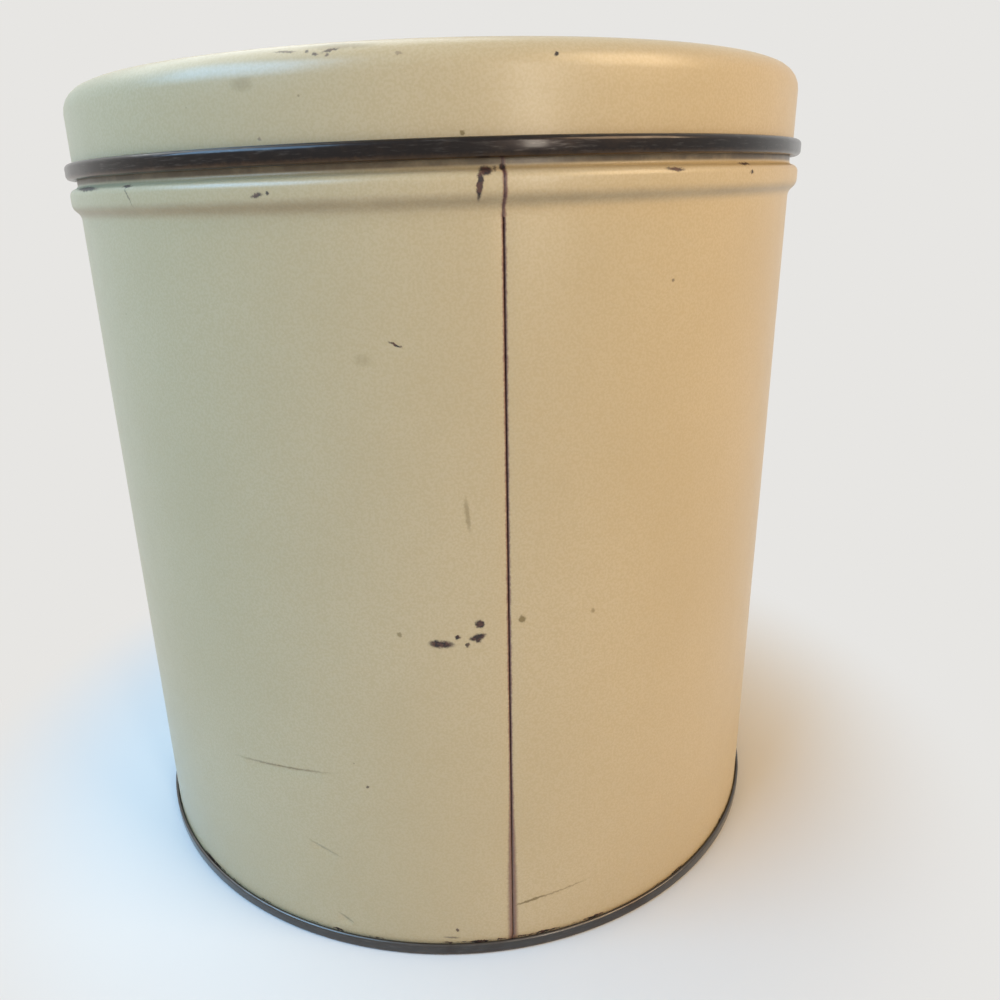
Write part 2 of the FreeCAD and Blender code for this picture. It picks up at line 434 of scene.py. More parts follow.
def along_wall(point, radius):
    """Distance from the side seam and height, in millimetres."""
    return Vector((math.atan2(point.x, -point.y) * radius / MM, point.z / MM))


def crease_weight(spot):
    """How deep the knocks press a spot of the wall: steep at the line, easing out below it."""
    deepest = 0.0
    for first, last, strength in WALL_CREASES:
        first, last = Vector(first), Vector(last)
        run = last - first
        share = (spot - first).dot(run) / run.length_squared
        below = (spot - first).cross(run.normalized())
        if not 0 < share < 1:
            continue
        edge = min(1.0, max(0.0, (below + CREASE_EDGE) / (2 * CREASE_EDGE)))
        fade = math.exp(-max(0.0, below) / CREASE_FADE)
        deepest = max(deepest, strength * math.sin(math.pi * share) ** CREASE_BLUNTNESS * edge * fade)
    return deepest


def near_crease(spot):
    for first, last, _ in WALL_CREASES:
        left, right = sorted((first[0], last[0]))
        low, high = sorted((first[1], last[1]))
        beside = left - CREASE_MARGIN < spot.x < right + CREASE_MARGIN
        level = low - CREASE_REACH - CREASE_FOOT_MARGIN < spot.y < high + CREASE_MARGIN
        if beside and level:
            return True
    return False


def press_creases(piece, sizes):
    """Divides the wall finely round each knock, then presses it in."""
    edit_mode()
    bpy.ops.mesh.select_mode(type="FACE")
    bpy.ops.mesh.select_all(action="DESELECT")
    mesh = bmesh.from_edit_mesh(piece.data)
    for face in mesh.faces:
        spot = along_wall(face.calc_center_median(), sizes.wall_radius)
        if spot.y > sizes.lock_bottom / MM and near_crease(spot):
            face.select_set(True)
    bmesh.update_edit_mesh(piece.data)
    bpy.ops.mesh.subdivide(number_cuts=CREASE_CUTS)
    object_mode()
    creases = piece.vertex_groups.new(name="creases")
    plain = piece.vertex_groups.new(name="plain_wall")
    foot, top = sizes.lock_bottom / MM, sizes.lock_top / MM - TOP_TRUE
    for vertex in piece.data.vertices:
        spot = along_wall(vertex.co, sizes.wall_radius)
        off_seam = abs(spot.x) - SEAM_TRUE
        if foot + FOOT_TRUE < spot.y < top and off_seam > 0:
            weight = crease_weight(spot)
            if weight > 0:
                creases.add([vertex.index], weight, "REPLACE")
            calm = min(1.0, (spot.y - foot - SWELL_START) / SWELL_EASE_UP, (top - spot.y) / SWELL_EASE_UP,
                       off_seam / SWELL_EASE_ALONG)
            plain.add([vertex.index], max(0.0, calm), "REPLACE")
    apply_modifier(piece, "DISPLACE", strength=-sizes.crease_depth, mid_level=0.0, vertex_group="creases")
    swell = bpy.data.textures.new("wall_swell", "CLOUDS")
    swell.noise_scale = SWELL_SCALE
    swell.noise_depth = 1
    apply_modifier(piece, "DISPLACE", strength=sizes.wall_wave, mid_level=0.5, vertex_group="plain_wall",
                   texture=swell, texture_coords="LOCAL")


class TIN_OT_body_shell(bpy.types.Operator):
    """Body of the tin: lock-seamed wall, stop bead, neck, rolled mouth and foot"""
    bl_idname = "tin.body_shell"
    bl_label = "Body"

    def execute(self, context):
        sizes, ends = context.scene.tin_sheet, context.scene.tin_ends
        wall = lock_wall(sizes)
        rings = (body_mouth(sizes), body_foot(sizes, ends))
        bpy.ops.object.select_all(action="DESELECT")
        for part in (*rings, wall):
            part.select_set(True)
        context.view_layer.objects.active = wall
        bpy.ops.object.join()
        edit_mode()
        close_up(wall, (0, sizes.wall_radius, sizes.mouth_height / 2), (0, 1, 0))
        press_creases(wall, sizes)
        give_thickness(wall, sizes.sheet, body_enamel(context), body_tinplate(context))
        seat(wall, "tin", "body_wall")
        return {"FINISHED"}


# Base

class TIN_OT_base_shell(bpy.types.Operator):
    """Base end: recessed panel with a stiffening ring, and the double seam's outer hook"""
    bl_idname = "tin.base_shell"
    bl_label = "Base"

    def execute(self, context):
        sizes, ends = context.scene.tin_sheet, context.scene.tin_ends
        chuck = wall_middle(sizes) - layer(sizes)
        seaming = wall_middle(sizes) + 3 * layer(sizes)
        ring_turn = jog_turn(ends.ring_rise, ends.ring_bend, ends.ring_bend)
        ring_half = jog_length(ends.ring_rise, ends.ring_bend, ends.ring_bend)
        centre = complex(0, ends.panel_height)
        piece = start_point("base_shell", on_section(centre))
        pen = section_pen(centre, OUT)
        pen.run_out_to(ends.ring_radius - ring_half)
        pen.bend(ends.ring_bend, ring_turn)
        pen.bend(ends.ring_bend, -2 * ring_turn)
        pen.bend(ends.ring_bend, ring_turn)
        pen.run_out_to(chuck - ends.panel_corner)
        pen.bend(ends.panel_corner, -QUARTER)
        pen.run_up_to(sizes.sheet / 2 + ends.seaming_bend)
        pen.bend(ends.seaming_bend, QUARTER)
        pen.run_out_to(seaming - ends.seaming_bend)
        pen.bend(ends.seaming_bend, QUARTER)
        pen.run_up_to(hook_ceiling(sizes, ends))
        pen.bend(layer(sizes), HALF_TURN)
        pen.run_up_to(hook_floor(sizes) + sizes.tip_room)
        whole_ring()
        close_up(piece, (0, seaming, ends.seam_height / 2), (0, 1, 0))
        give_thickness(piece, sizes.sheet, base_tinplate(context), base_tinplate(context))
        seat(piece, "tin", "base_end")
        return {"FINISHED"}


# Lid

class TIN_OT_lid_shell(bpy.types.Operator):
    """Slip lid: stepped panel, rounded edge, skirt and outward curl"""
    bl_idname = "tin.lid_shell"
    bl_label = "Lid"

    def execute(self, context):
        sizes, ends = context.scene.tin_sheet, context.scene.tin_ends
        half = sizes.sheet / 2
        skirt = wall_middle(sizes) - sizes.neck_step + sizes.sheet + ends.lid_clearance
        corner = ends.lid_corner - half
        curl = ends.curl_width / 2 - half
        step_half = jog_length(ends.step_drop, ends.step_bend, ends.step_bend) / 2
        centre = complex(0, ends.lid_top - ends.step_drop - half)
        piece = start_point("lid_shell", on_section(centre))
        pen = section_pen(centre, OUT)
        pen.run_out_to(ends.step_radius - step_half)
        pen.jog(ends.step_drop, ends.step_bend, ends.step_bend)
        pen.run_out_to(skirt - corner)
        pen.bend(corner, -QUARTER)
        pen.run_up_to(ends.lid_rim + ends.curl_width / 2)
        pen.bend(curl, HALF_TURN)
        pen.run_up_to(ends.lid_rim + ends.curl_height - ends.curl_width / 2)
        pen.bend(curl, ends.curl_tuck)
        whole_ring()
        close_up(piece, (0, 0, ends.lid_top), (0, 0, 1))
        give_thickness(piece, sizes.sheet, lid_enamel(context), lid_tinplate(context))
        seat(piece, "lid", "slip_lid")
        return {"FINISHED"}


# Finishes: building nodes

class NodeBench:
    """Adds and links nodes in one node tree."""

    def __init__(self, tree):
        self.tree = tree

    def add(self, kind, inputs=None, **settings):
        node = self.tree.nodes.new(kind)
        for key, value in settings.items():
            setattr(node, key, value)
        self.feed(node, inputs or {})
        return node

    def feed(self, node, inputs):
        for key, value in inputs.items():
            self.set(node.inputs[key], value)

    def set(self, socket, value):
        if isinstance(value, bpy.types.NodeSocket):
            self.tree.links.new(value, socket)
        else:
            socket.default_value = value

    def math(self, operation, *values, clamp=False):
        node = self.add("ShaderNodeMath", operation=operation, use_clamp=clamp)
        for socket, value in zip(node.inputs, values):
            self.set(socket, value)
        return node.outputs[0]

    def vector(self, operation, *values):
        node = self.add("ShaderNodeVectorMath", operation=operation)
        for socket, value in zip(node.inputs, values):
            self.set(socket, value)
        return node.outputs["Value" if operation in ("LENGTH", "DOT_PRODUCT") else "Vector"]

    def ramp(self, value, low, high, to_low=0.0, to_high=1.0):
        node = self.add("ShaderNodeMapRange", {"Value": value, "From Min": low, "From Max": high,
                                               "To Min": to_low, "To Max": to_high},
                        interpolation_type="SMOOTHSTEP")
        return node.outputs["Result"]

    def noise(self, vector, scale, detail=2.0, roughness=0.5):
        node = self.add("ShaderNodeTexNoise", {"Vector": vector, "Scale": scale, "Detail": detail,
                                               "Roughness": roughness})
        return node.outputs["Fac"]

    def axes(self, vector):
        return self.add("ShaderNodeSeparateXYZ", {"Vector": vector}).outputs

    def off(self, value, middle):
        return self.math("ABSOLUTE", self.math("SUBTRACT", value, middle))

    def times(self, first, second):
        return self.math("MULTIPLY", first, second)

    def plus(self, first, second):
        return self.math("ADD", first, second)

    def most(self, first, second):
        return self.math("MAXIMUM", first, second)

    def mix(self, share, first, second):
        node = self.add("ShaderNodeMix", data_type="RGBA")
        self.set(node.inputs["Factor"], share)
        self.set(node.inputs[6], first)
        self.set(node.inputs[7], second)
        return node.outputs[2]

    def blend(self, share, first, second):
        """One shader into another."""
        node = self.add("ShaderNodeMixShader", {"Fac": share})
        self.set(node.inputs[1], first.outputs[0])
        self.set(node.inputs[2], second.outputs[0])
        return node

    def group(self, name, **inputs):
        node = self.add("ShaderNodeGroup", node_tree=node_group(name))
        self.feed(node, {key.replace("_", " "): value for key, value in inputs.items()})
        return node.outputs


def rgba(tint):
    return (*tint, 1.0)


GROUP_MAKERS = {}
FLOAT, VECTOR, COLOUR = "NodeSocketFloat", "NodeSocketVector", "NodeSocketColor"


def node_group(name):
    """Builds a shared effect the first time that it is asked for. A number as an input is its default."""
    if name not in bpy.data.node_groups:
        inputs, outputs, fill = GROUP_MAKERS[name]
        tree = bpy.data.node_groups.new(name, "ShaderNodeTree")
        for label, kind in inputs.items():
            plain = isinstance(kind, float)
            socket = tree.interface.new_socket(label, in_out="INPUT", socket_type=FLOAT if plain else kind)
            if plain:
                socket.default_value = kind
        for label, kind in outputs.items():
            tree.interface.new_socket(label, in_out="OUTPUT", socket_type=kind)
        bench = NodeBench(tree)
        entry = bench.add("NodeGroupInput").outputs
        leave = bench.add("NodeGroupOutput").inputs
        for label, value in fill(bench, entry).items():
            bench.set(leave[label], value)
    return bpy.data.node_groups[name]


def effect(name, inputs, outputs):
    def keep(fill):
        GROUP_MAKERS[name] = (inputs, outputs, fill)
        return fill
    return keep


@effect("Unrolled wall", {"Position": VECTOR, "Radius": 93.0},
        {"Wall": VECTOR, "Frayed": VECTOR, "Place": VECTOR, "Outer": FLOAT})
def unrolled_wall(bench, entry):
    """Millimetres along the wall from the side seam and up from the floor, plain and with ragged edges.

    Outer is 1 on the wall and on the rounded edge of the lid, and 0 on flat panels.
    """
    place = bench.vector("MULTIPLY", entry["Position"], (1 / MM, 1 / MM, 1 / MM))
    axes = bench.axes(place)
    turn = bench.math("ARCTAN2", axes["X"], bench.times(axes["Y"], -1.0))
    along = bench.times(turn, entry["Radius"])
    wall = bench.add("ShaderNodeCombineXYZ", {"X": along, "Y": axes["Z"]}).outputs[0]
    coarse = bench.add("ShaderNodeTexNoise", {"Vector": place, "Scale": 0.9, "Detail": 4.0, "Roughness": 0.7})
    middle, reach = (0.5, 0.5, 0.5), (1.2, 1.2, 0.0)
    shake = bench.vector("SUBTRACT", coarse.outputs["Color"], middle)
    frayed = bench.vector("ADD", wall, bench.vector("MULTIPLY", shake, reach))
    from_axis = bench.vector("LENGTH", bench.vector("MULTIPLY", place, (1.0, 1.0, 0.0)))
    short = bench.math("SUBTRACT", entry["Radius"], from_axis)
    flat_from, flat_to = 4.0, 7.0
    return {"Wall": wall, "Frayed": frayed, "Place": place,
            "Outer": bench.ramp(short, flat_from, flat_to, 1.0, 0.0)}


@effect("Worn spot", {"Wall": VECTOR, "Centre": VECTOR, "Turn": VECTOR, "Half size": VECTOR,
                      "Inner": 0.8, "Outer": 1.2, "Strength": 1.0}, {"Mask": FLOAT})
def worn_spot(bench, entry):
    """One chip, scratch or smudge: a turned oval with a soft or crisp edge."""
    local = bench.add("ShaderNodeMapping", {"Vector": entry["Wall"], "Location": entry["Centre"],
                                            "Rotation": entry["Turn"], "Scale": entry["Half size"]},
                      vector_type="TEXTURE").outputs[0]
    away = bench.vector("LENGTH", local)
    return {"Mask": bench.ramp(away, entry["Inner"], entry["Outer"], entry["Strength"], 0.0)}


@effect("Specks", {"Place": VECTOR, "Spacing": 8.0, "Share": 0.3, "Size": 0.06}, {"Mask": FLOAT})
def specks(bench, entry):
    """Sparse small dots of uneven size."""
    scale = bench.math("DIVIDE", 1.0, entry["Spacing"])
    cells = bench.add("ShaderNodeTexVoronoi", {"Vector": entry["Place"], "Scale": scale})
    chance = bench.add("ShaderNodeSeparateColor", {"Color": cells.outputs["Color"]}).outputs
    shown = bench.math("LESS_THAN", chance["Red"], entry["Share"])
    size = bench.times(entry["Size"], bench.plus(chance["Green"], 0.3))
    dot = bench.ramp(cells.outputs["Distance"], bench.times(size, 0.6), size, 1.0, 0.0)
    return {"Mask": bench.times(shown, dot)}


@effect("Rubbed rim", {"Frayed": VECTOR, "Patch": 0.5, "Height": 0.0, "Half width": 1.0, "Amount": 0.4},
        {"Mask": FLOAT})
def rubbed_rim(bench, entry):
    """Paint lost in short uneven stretches along one height of the tin."""
    up = bench.axes(entry["Frayed"])["Y"]
    off = bench.off(up, entry["Height"])
    near = bench.ramp(off, 0.0, entry["Half width"], 1.0, 0.0)
    worn = bench.plus(entry["Patch"], bench.times(near, entry["Amount"]))
    return {"Mask": bench.times(bench.ramp(worn, 0.88, 0.96), bench.ramp(near, 0.0, 0.4))}


@effect("Fine scratches", {"Place": VECTOR, "Turn": 0.0, "Share": 0.5}, {"Mask": FLOAT})
def fine_scratches(bench, entry):
    """Thin straight marks, broken along their length."""
    turned = bench.add("ShaderNodeVectorRotate", {"Vector": entry["Place"], "Angle": entry["Turn"]},
                       rotation_type="Z_AXIS").outputs[0]
    long_and_thin, half_width = (0.012, 0.9, 0.9), 0.012
    stretched = bench.vector("MULTIPLY", turned, long_and_thin)
    lines = bench.noise(stretched, scale=1.0, detail=3.0, roughness=0.6)
    thin = bench.ramp(bench.off(lines, 0.5), 0.0, half_width, 1.0, 0.0)
    gaps = bench.noise(entry["Place"], scale=0.05, detail=2.0)
    broken = bench.ramp(gaps, bench.math("SUBTRACT", 1.0, entry["Share"]), 1.0)
    return {"Mask": bench.times(thin, broken)}


@effect("Enamel tone", {"Place": VECTOR, "Cream": COLOUR, "Pale": COLOUR, "Aged": COLOUR},
        {"Colour": COLOUR, "Gloss change": FLOAT, "Peel": FLOAT})
def enamel_tone(bench, entry):
    """Uneven cream with a fine grain, patches of duller gloss and the paint's orange peel."""
    broad = bench.noise(entry["Place"], scale=0.018, detail=2.0, roughness=0.5)
    close = bench.noise(entry["Place"], scale=0.16, detail=3.0, roughness=0.6)
    stipple = bench.noise(entry["Place"], scale=0.9, detail=2.0, roughness=0.6)
    grain = bench.noise(entry["Place"], scale=2.0, detail=1.0, roughness=0.5)
    tone = bench.mix(bench.ramp(broad, 0.3, 0.7), entry["Cream"], entry["Pale"])
    patch_strength, grain_strength = 0.10, 0.45
    tone = bench.mix(bench.times(bench.ramp(close, 0.45, 0.8), patch_strength), tone, entry["Aged"])
    tone = bench.mix(bench.times(bench.ramp(grain, 0.36, 0.64), grain_strength), tone, entry["Aged"])
    broad_dulling, close_dulling = 0.08, 0.10
    gloss = bench.plus(bench.times(broad, broad_dulling), bench.times(close, close_dulling))
    return {"Colour": tone, "Gloss change": gloss, "Peel": stipple}


@effect("Seam stain", {"Wall": VECTOR, "Place": VECTOR, "Centre": 0.5}, {"Rust": FLOAT, "Dark": FLOAT})
def seam_stain(bench, entry):
    """Rust that has crept out of the side seam, wider and redder near the foot."""
    axes = bench.axes(entry["Wall"])
    creep = bench.noise(entry["Place"], scale=0.35, detail=4.0, roughness=0.7)
    fine = bench.noise(entry["Place"], scale=1.4, detail=3.0, roughness=0.7)
    off = bench.off(axes["X"], entry["Centre"])
    foot_from, foot_to = 15.0, 55.0
    foot = bench.ramp(axes["Y"], foot_from, foot_to, 0.7, 0.0)
    reach = bench.plus(bench.times(bench.plus(creep, fine), 0.5), foot)
    rust = bench.ramp(off, bench.times(reach, 0.5), bench.times(reach, 1.3), 1.0, 0.0)
    dark = bench.ramp(off, bench.times(reach, 0.2), bench.times(reach, 0.7), 1.0, 0.0)
    dark = bench.times(dark, bench.ramp(fine, 0.3, 0.6, 0.6, 1.0))
    redder = bench.ramp(axes["Y"], foot_from, foot_to, 0.45, 1.0)
    return {"Rust": rust, "Dark": bench.times(dark, redder)}


@effect("Settled grime", {"Wall": VECTOR, "Patch": 0.5, "Bead top": 181.9, "Bead foot": 176.0},
        {"Mask": FLOAT})
def grime_and_painted_shade(bench, entry):
    """Dirt and painted shade on the neck just above the stop bead, where the lid's curl shades it, and
    painted shade in the trough a little below the bead.
    """
    up = bench.axes(entry["Wall"])["Y"]
    above = bench.math("SUBTRACT", up, entry["Bead top"])
    soft_edge, thick_to, gone_at = 0.3, 1.6, 4.0
    thick = bench.ramp(above, thick_to, gone_at, 1.0, 0.0)
    neck = bench.times(bench.ramp(above, -soft_edge, soft_edge), thick)
    # The trough below the bead gets painted shade only.
    trough_reach, trough_strength = 2.0, 0.3
    trough = bench.ramp(bench.off(up, entry["Bead foot"]), 0.0, trough_reach, trough_strength, 0.0)
    uneven = bench.ramp(entry["Patch"], 0.25, 0.6, 0.6, 1.0)
    return {"Mask": bench.times(bench.most(neck, trough), uneven)}


def empty_bench(owner):
    owner.use_nodes = True
    owner.node_tree.nodes.clear()
    return NodeBench(owner.node_tree)


def new_material(name):
    material = bpy.data.materials.new(name)
    bench = empty_bench(material)
    shader = bench.add("ShaderNodeBsdfPrincipled")
    out = bench.add("ShaderNodeOutputMaterial")
    bench.set(out.inputs["Surface"], shader.outputs[0])
    position = bench.add("ShaderNodeTexCoord").outputs["Object"]
    return material, bench, shader, position


def laid_marks(bench, wall, marks):
    """All marks of one kind as a single mask. A mark is its two ends, half width, softness and strength."""
    total = None
    for first, last, half_width, soft, strength in marks:
        run = complex(last[0] - first[0], last[1] - first[1])
        half_length = max(abs(run) / 2, half_width)
        centre = ((first[0] + last[0]) / 2, (first[1] + last[1]) / 2, 0.0)
        turn = math.atan2(run.imag, run.real) if run else 0.0
        spot = bench.group("Worn spot", Wall=wall, Centre=centre, Turn=(0.0, 0.0, turn),
                           Half_size=(half_length, half_width, 1.0), Inner=1 - soft, Outer=1 + soft,
                           Strength=strength)["Mask"]
        total = spot if total is None else bench.most(total, spot)
    return total


# Wear, and painted shade along the knocks: the two ends of each mark along the wall from the side seam and up
# from the floor in millimetres, then its half width, softness and strength
BODY_CHIPS = (
    ((-16.6, 86.7), (-11.6, 86.2), 0.85, 0.35, 1.0),
    ((-15.6, 87.3), (-13.2, 86.0), 0.55, 0.3, 1.0),
    ((-10.9, 88.3), (-10.3, 87.9), 0.55, 0.3, 1.0),
    ((-6.4, 90.9), (-5.2, 90.9), 0.95, 0.25, 1.0),
    ((-7.9, 87.4), (-4.5, 88.2), 0.7, 0.35, 1.0),
    ((-6.6, 87.6), (-5.8, 86.6), 0.6, 0.35, 1.0),
    ((-8.7, 86.0), (-8.2, 86.0), 0.5, 0.3, 0.9),
    ((-21.5, 151.25), (-19.3, 150.1), 0.26, 0.4, 1.0),
    ((37.0, 159.5), (37.5, 159.5), 0.4, 0.4, 0.6),
    ((-32.9, 48.6), (-32.5, 48.6), 0.4, 0.3, 0.8),
    ((-13.3, 7.05), (-12.9, 7.05), 0.45, 0.3, 0.9),
    ((-107.0, 180.9), (-91.6, 180.6), 0.4, 0.4, 0.9),
    ((-79.8, 180.8), (-76.6, 180.7), 0.3, 0.4, 0.9),
    ((-79.0, 181.2), (-76.4, 177.0), 0.16, 0.5, 0.6),
    ((-45.4, 178.0), (-43.2, 178.3), 0.34, 0.5, 0.9),
    ((-42.4, 178.5), (-41.9, 178.5), 0.32, 0.5, 0.9),
    ((32.9, 180.3), (37.1, 180.2), 0.32, 0.5, 1.0),
    ((55.3, 181.0), (59.2, 181.1), 0.3, 0.5, 1.0),
    ((-3.9, 180.8), (-1.6, 181.1), 0.75, 0.35, 1.0),
    ((-4.15, 176.2), (-3.8, 181.2), 0.55, 0.3, 1.0),
    ((-1.2, 180.8), (-1.0, 181.9), 0.3, 0.4, 0.7),
    ((0.0, 180.9), (0.5, 182.0), 0.6, 0.35, 1.0),
    ((-16.4, 4.9), (-13.0, 4.6), 0.3, 0.5, 0.6),
)
BODY_THIN_MARKS = (
    ((2.7, 91.1), (3.9, 91.1), 0.8, 0.35, 0.9),
    ((19.5, 90.3), (20.1, 90.3), 0.5, 0.4, 0.6),
    ((-23.4, 88.8), (-22.6, 88.8), 0.5, 0.4, 0.7),
    ((-8.0, 119.0), (-7.4, 112.5), 0.45, 0.5, 0.5),
    ((-28.4, 147.9), (-25.4, 147.9), 1.0, 0.7, 0.2),
    ((1.0, 13.2), (9.5, 14.7), 0.3, 0.4, 0.9),
    ((4.0, 13.7), (18.8, 15.9), 0.22, 0.5, 0.6),
    # The last three marks darken the knocks' lines: painted shade along each crease, over a dirt-filled
    # scratch.
    ((-66.0, 47.95), (-45.4, 50.45), 0.35, 0.8, 0.85),
    ((-48.6, 29.35), (-42.2, 26.9), 0.3, 0.8, 0.5),
    ((-42.8, 8.6), (-39.6, 6.6), 0.3, 0.8, 0.55),
)
LID_CHIPS = (
    ((-39.6, 201.6), (-35.8, 201.4), 0.22, 0.5, 0.6),
    ((-33.8, 201.3), (-33.1, 201.2), 0.28, 0.5, 0.7),
    ((-32.4, 200.9), (-31.4, 200.8), 0.3, 0.5, 0.8),
    ((-30.6, 201.0), (-27.8, 201.5), 0.26, 0.5, 0.8),
    ((-30.0, 200.5), (-29.4, 200.5), 0.26, 0.5, 0.7),
    ((-17.8, 200.3), (-16.4, 200.1), 0.2, 0.5, 0.4),
    ((10.1, 199.5), (10.5, 199.5), 0.42, 0.3, 1.0),
    ((-43.7, 187.7), (-43.1, 187.7), 0.35, 0.5, 0.5),
)
LID_THIN_MARKS = (
    ((-6.9, 187.2), (-6.5, 187.2), 0.45, 0.3, 0.9),
    ((-48.0, 196.8), (-44.0, 196.8), 1.0, 0.7, 0.3),
    ((-33.0, 202.0), (-22.0, 201.8), 0.5, 0.6, 0.5),
)


FINE_SPECKS = {"Spacing": 7.0, "Share": 0.16, "Size": 0.045}
DARK_DOTS = {"Spacing": 31.0, "Share": 0.22, "Size": 0.02}
METAL_SPOTS = {"Spacing": 5.0, "Share": 0.3, "Size": 0.12}
PAINT_SCRATCHES = {"Turn": 0.7, "Share": 0.42}
METAL_SCRATCHES = {"Turn": -0.5, "Share": 0.6}

SPECK_STRENGTH, SCRATCH_STRENGTH = 0.55, 0.16
# Strength of the grime and painted shade on the neck and bead, and of the rust beside the side seam
GRIME_AND_SHADE_STRENGTH, SEAM_RUST_STRENGTH = 0.85, 0.8
PAINT_ROUGHNESS, CHIP_DULLING = 0.25, 0.3
PEEL_STRENGTH, PEEL_DEPTH = 0.06, 0.02 * MM

STAIN_STRENGTH, SPOT_STRENGTH = 0.7, 0.8
MOTTLE_SHARE, BROWN_STRENGTH = 0.10, 0.45
BROWN_EDGE = 1.3                  # width of an edge painted golden brown, in millimetres: wear on the mouth and base, a painted reflection under the lid's curl
METAL_ROUGHNESS, CLOUD_DULLING, SPOT_DULLING = 0.20, 0.22, 0.4
DRAWN_LINES, SCRATCH_DEPTH = 0.2, 0.3
METAL_RELIEF, METAL_RELIEF_DEPTH = 0.3, 0.05 * MM
CLEAN_METALLIC, SPOT_METALLIC = 0.92, 0.2
COAT, COAT_ROUGHNESS = 0.35, 0.12
LID_EDGE_DROP = 1.2 * MM         # top of the lid to the middle of its rubbed edge


def finish_enamel(context, name, chips, thin_marks, rubbed, with_seam):
    """Worn cream enamel: tone, grime with painted shade by the bead, chips down to the dark sheet, scratches
    and rubbed rims.
    """
    finishes, sizes = context.scene.tin_finishes, context.scene.tin_sheet
    material, bench, shader, position = new_material(name)
    wall = bench.group("Unrolled wall", Position=position, Radius=sizes.wall_radius / MM)
    place, frayed = wall["Place"], wall["Frayed"]
    tone = bench.group("Enamel tone", Place=place, Cream=rgba(finishes.cream), Pale=rgba(finishes.pale_cream),
                       Aged=rgba(finishes.aged_cream))
    paint = tone["Colour"]

    thin = bench.times(laid_marks(bench, frayed, thin_marks), wall["Outer"])
    fine_specks = bench.group("Specks", Place=place, **FINE_SPECKS)["Mask"]
    thin = bench.most(thin, bench.times(fine_specks, SPECK_STRENGTH))
    scratches = bench.group("Fine scratches", Place=place, **PAINT_SCRATCHES)["Mask"]
    thin = bench.most(thin, bench.times(scratches, SCRATCH_STRENGTH))
    paint = bench.mix(thin, paint, rgba(finishes.olive))

    chipped = bench.times(laid_marks(bench, frayed, chips), wall["Outer"])
    dots = bench.group("Specks", Place=place, **DARK_DOTS)["Mask"]
    chipped = bench.most(chipped, dots)
    patch = bench.noise(place, scale=0.11, detail=4.0, roughness=0.65)
    for rim in rubbed:
        worn_off = bench.group("Rubbed rim", Frayed=frayed, Patch=patch, **rim)["Mask"]
        chipped = bench.most(chipped, worn_off)
    if with_seam:
        stain = bench.group("Seam stain", Wall=wall["Wall"], Place=place,
                            Centre=groove_width(sizes) / 2 / MM)
        # Dirt and painted shade on the neck under the curl, and painted shade in the bead's trough.
        grime_and_shade_mask = bench.group("Settled grime", Wall=wall["Wall"], Patch=patch)["Mask"]
        paint = bench.mix(bench.times(grime_and_shade_mask, GRIME_AND_SHADE_STRENGTH), paint, rgba(finishes.grime_and_shade))
        paint = bench.mix(bench.times(stain["Rust"], SEAM_RUST_STRENGTH), paint, rgba(finishes.seam_rust))
        paint = bench.mix(stain["Dark"], paint, rgba(finishes.seam))
    rusty = bench.ramp(bench.noise(place, scale=1.1, detail=3.0), 0.42, 0.62)
    rusted = bench.mix(rusty, rgba(finishes.bared), rgba(finishes.rust))
    paint = bench.mix(chipped, paint, rusted)

    gloss = bench.plus(tone["Gloss change"], PAINT_ROUGHNESS)
    gloss = bench.plus(gloss, bench.times(chipped, CHIP_DULLING))
    relief = bench.add("ShaderNodeBump", {"Strength": PEEL_STRENGTH, "Distance": PEEL_DEPTH,
                                          "Height": tone["Peel"]})
    bench.feed(shader, {"Base Color": paint, "Roughness": gloss, "Normal": relief.outputs["Normal"]})
    return material


def rub(height, half_width, share):
    return {"Height": height / MM, "Half_width": half_width, "Amount": share}


def body_enamel(context):
    sizes, ends = context.scene.tin_sheet, context.scene.tin_ends
    rubbed = (rub(sizes.crest_top, half_width=1.6, share=0.24),
              rub(ends.seam_height, half_width=1.0, share=0.40),
              rub(sizes.mouth_height, half_width=1.4, share=0.55))
    return finish_enamel(context, "body_enamel", BODY_CHIPS, BODY_THIN_MARKS, rubbed, True)


def lid_enamel(context):
    ends = context.scene.tin_ends
    rubbed = (rub(ends.lid_top - LID_EDGE_DROP, half_width=2.0, share=0.22),
              rub(ends.lid_rim + ends.curl_height, half_width=1.0, share=0.25))
    return finish_enamel(context, "lid_enamel", LID_CHIPS, LID_THIN_MARKS, rubbed, False)


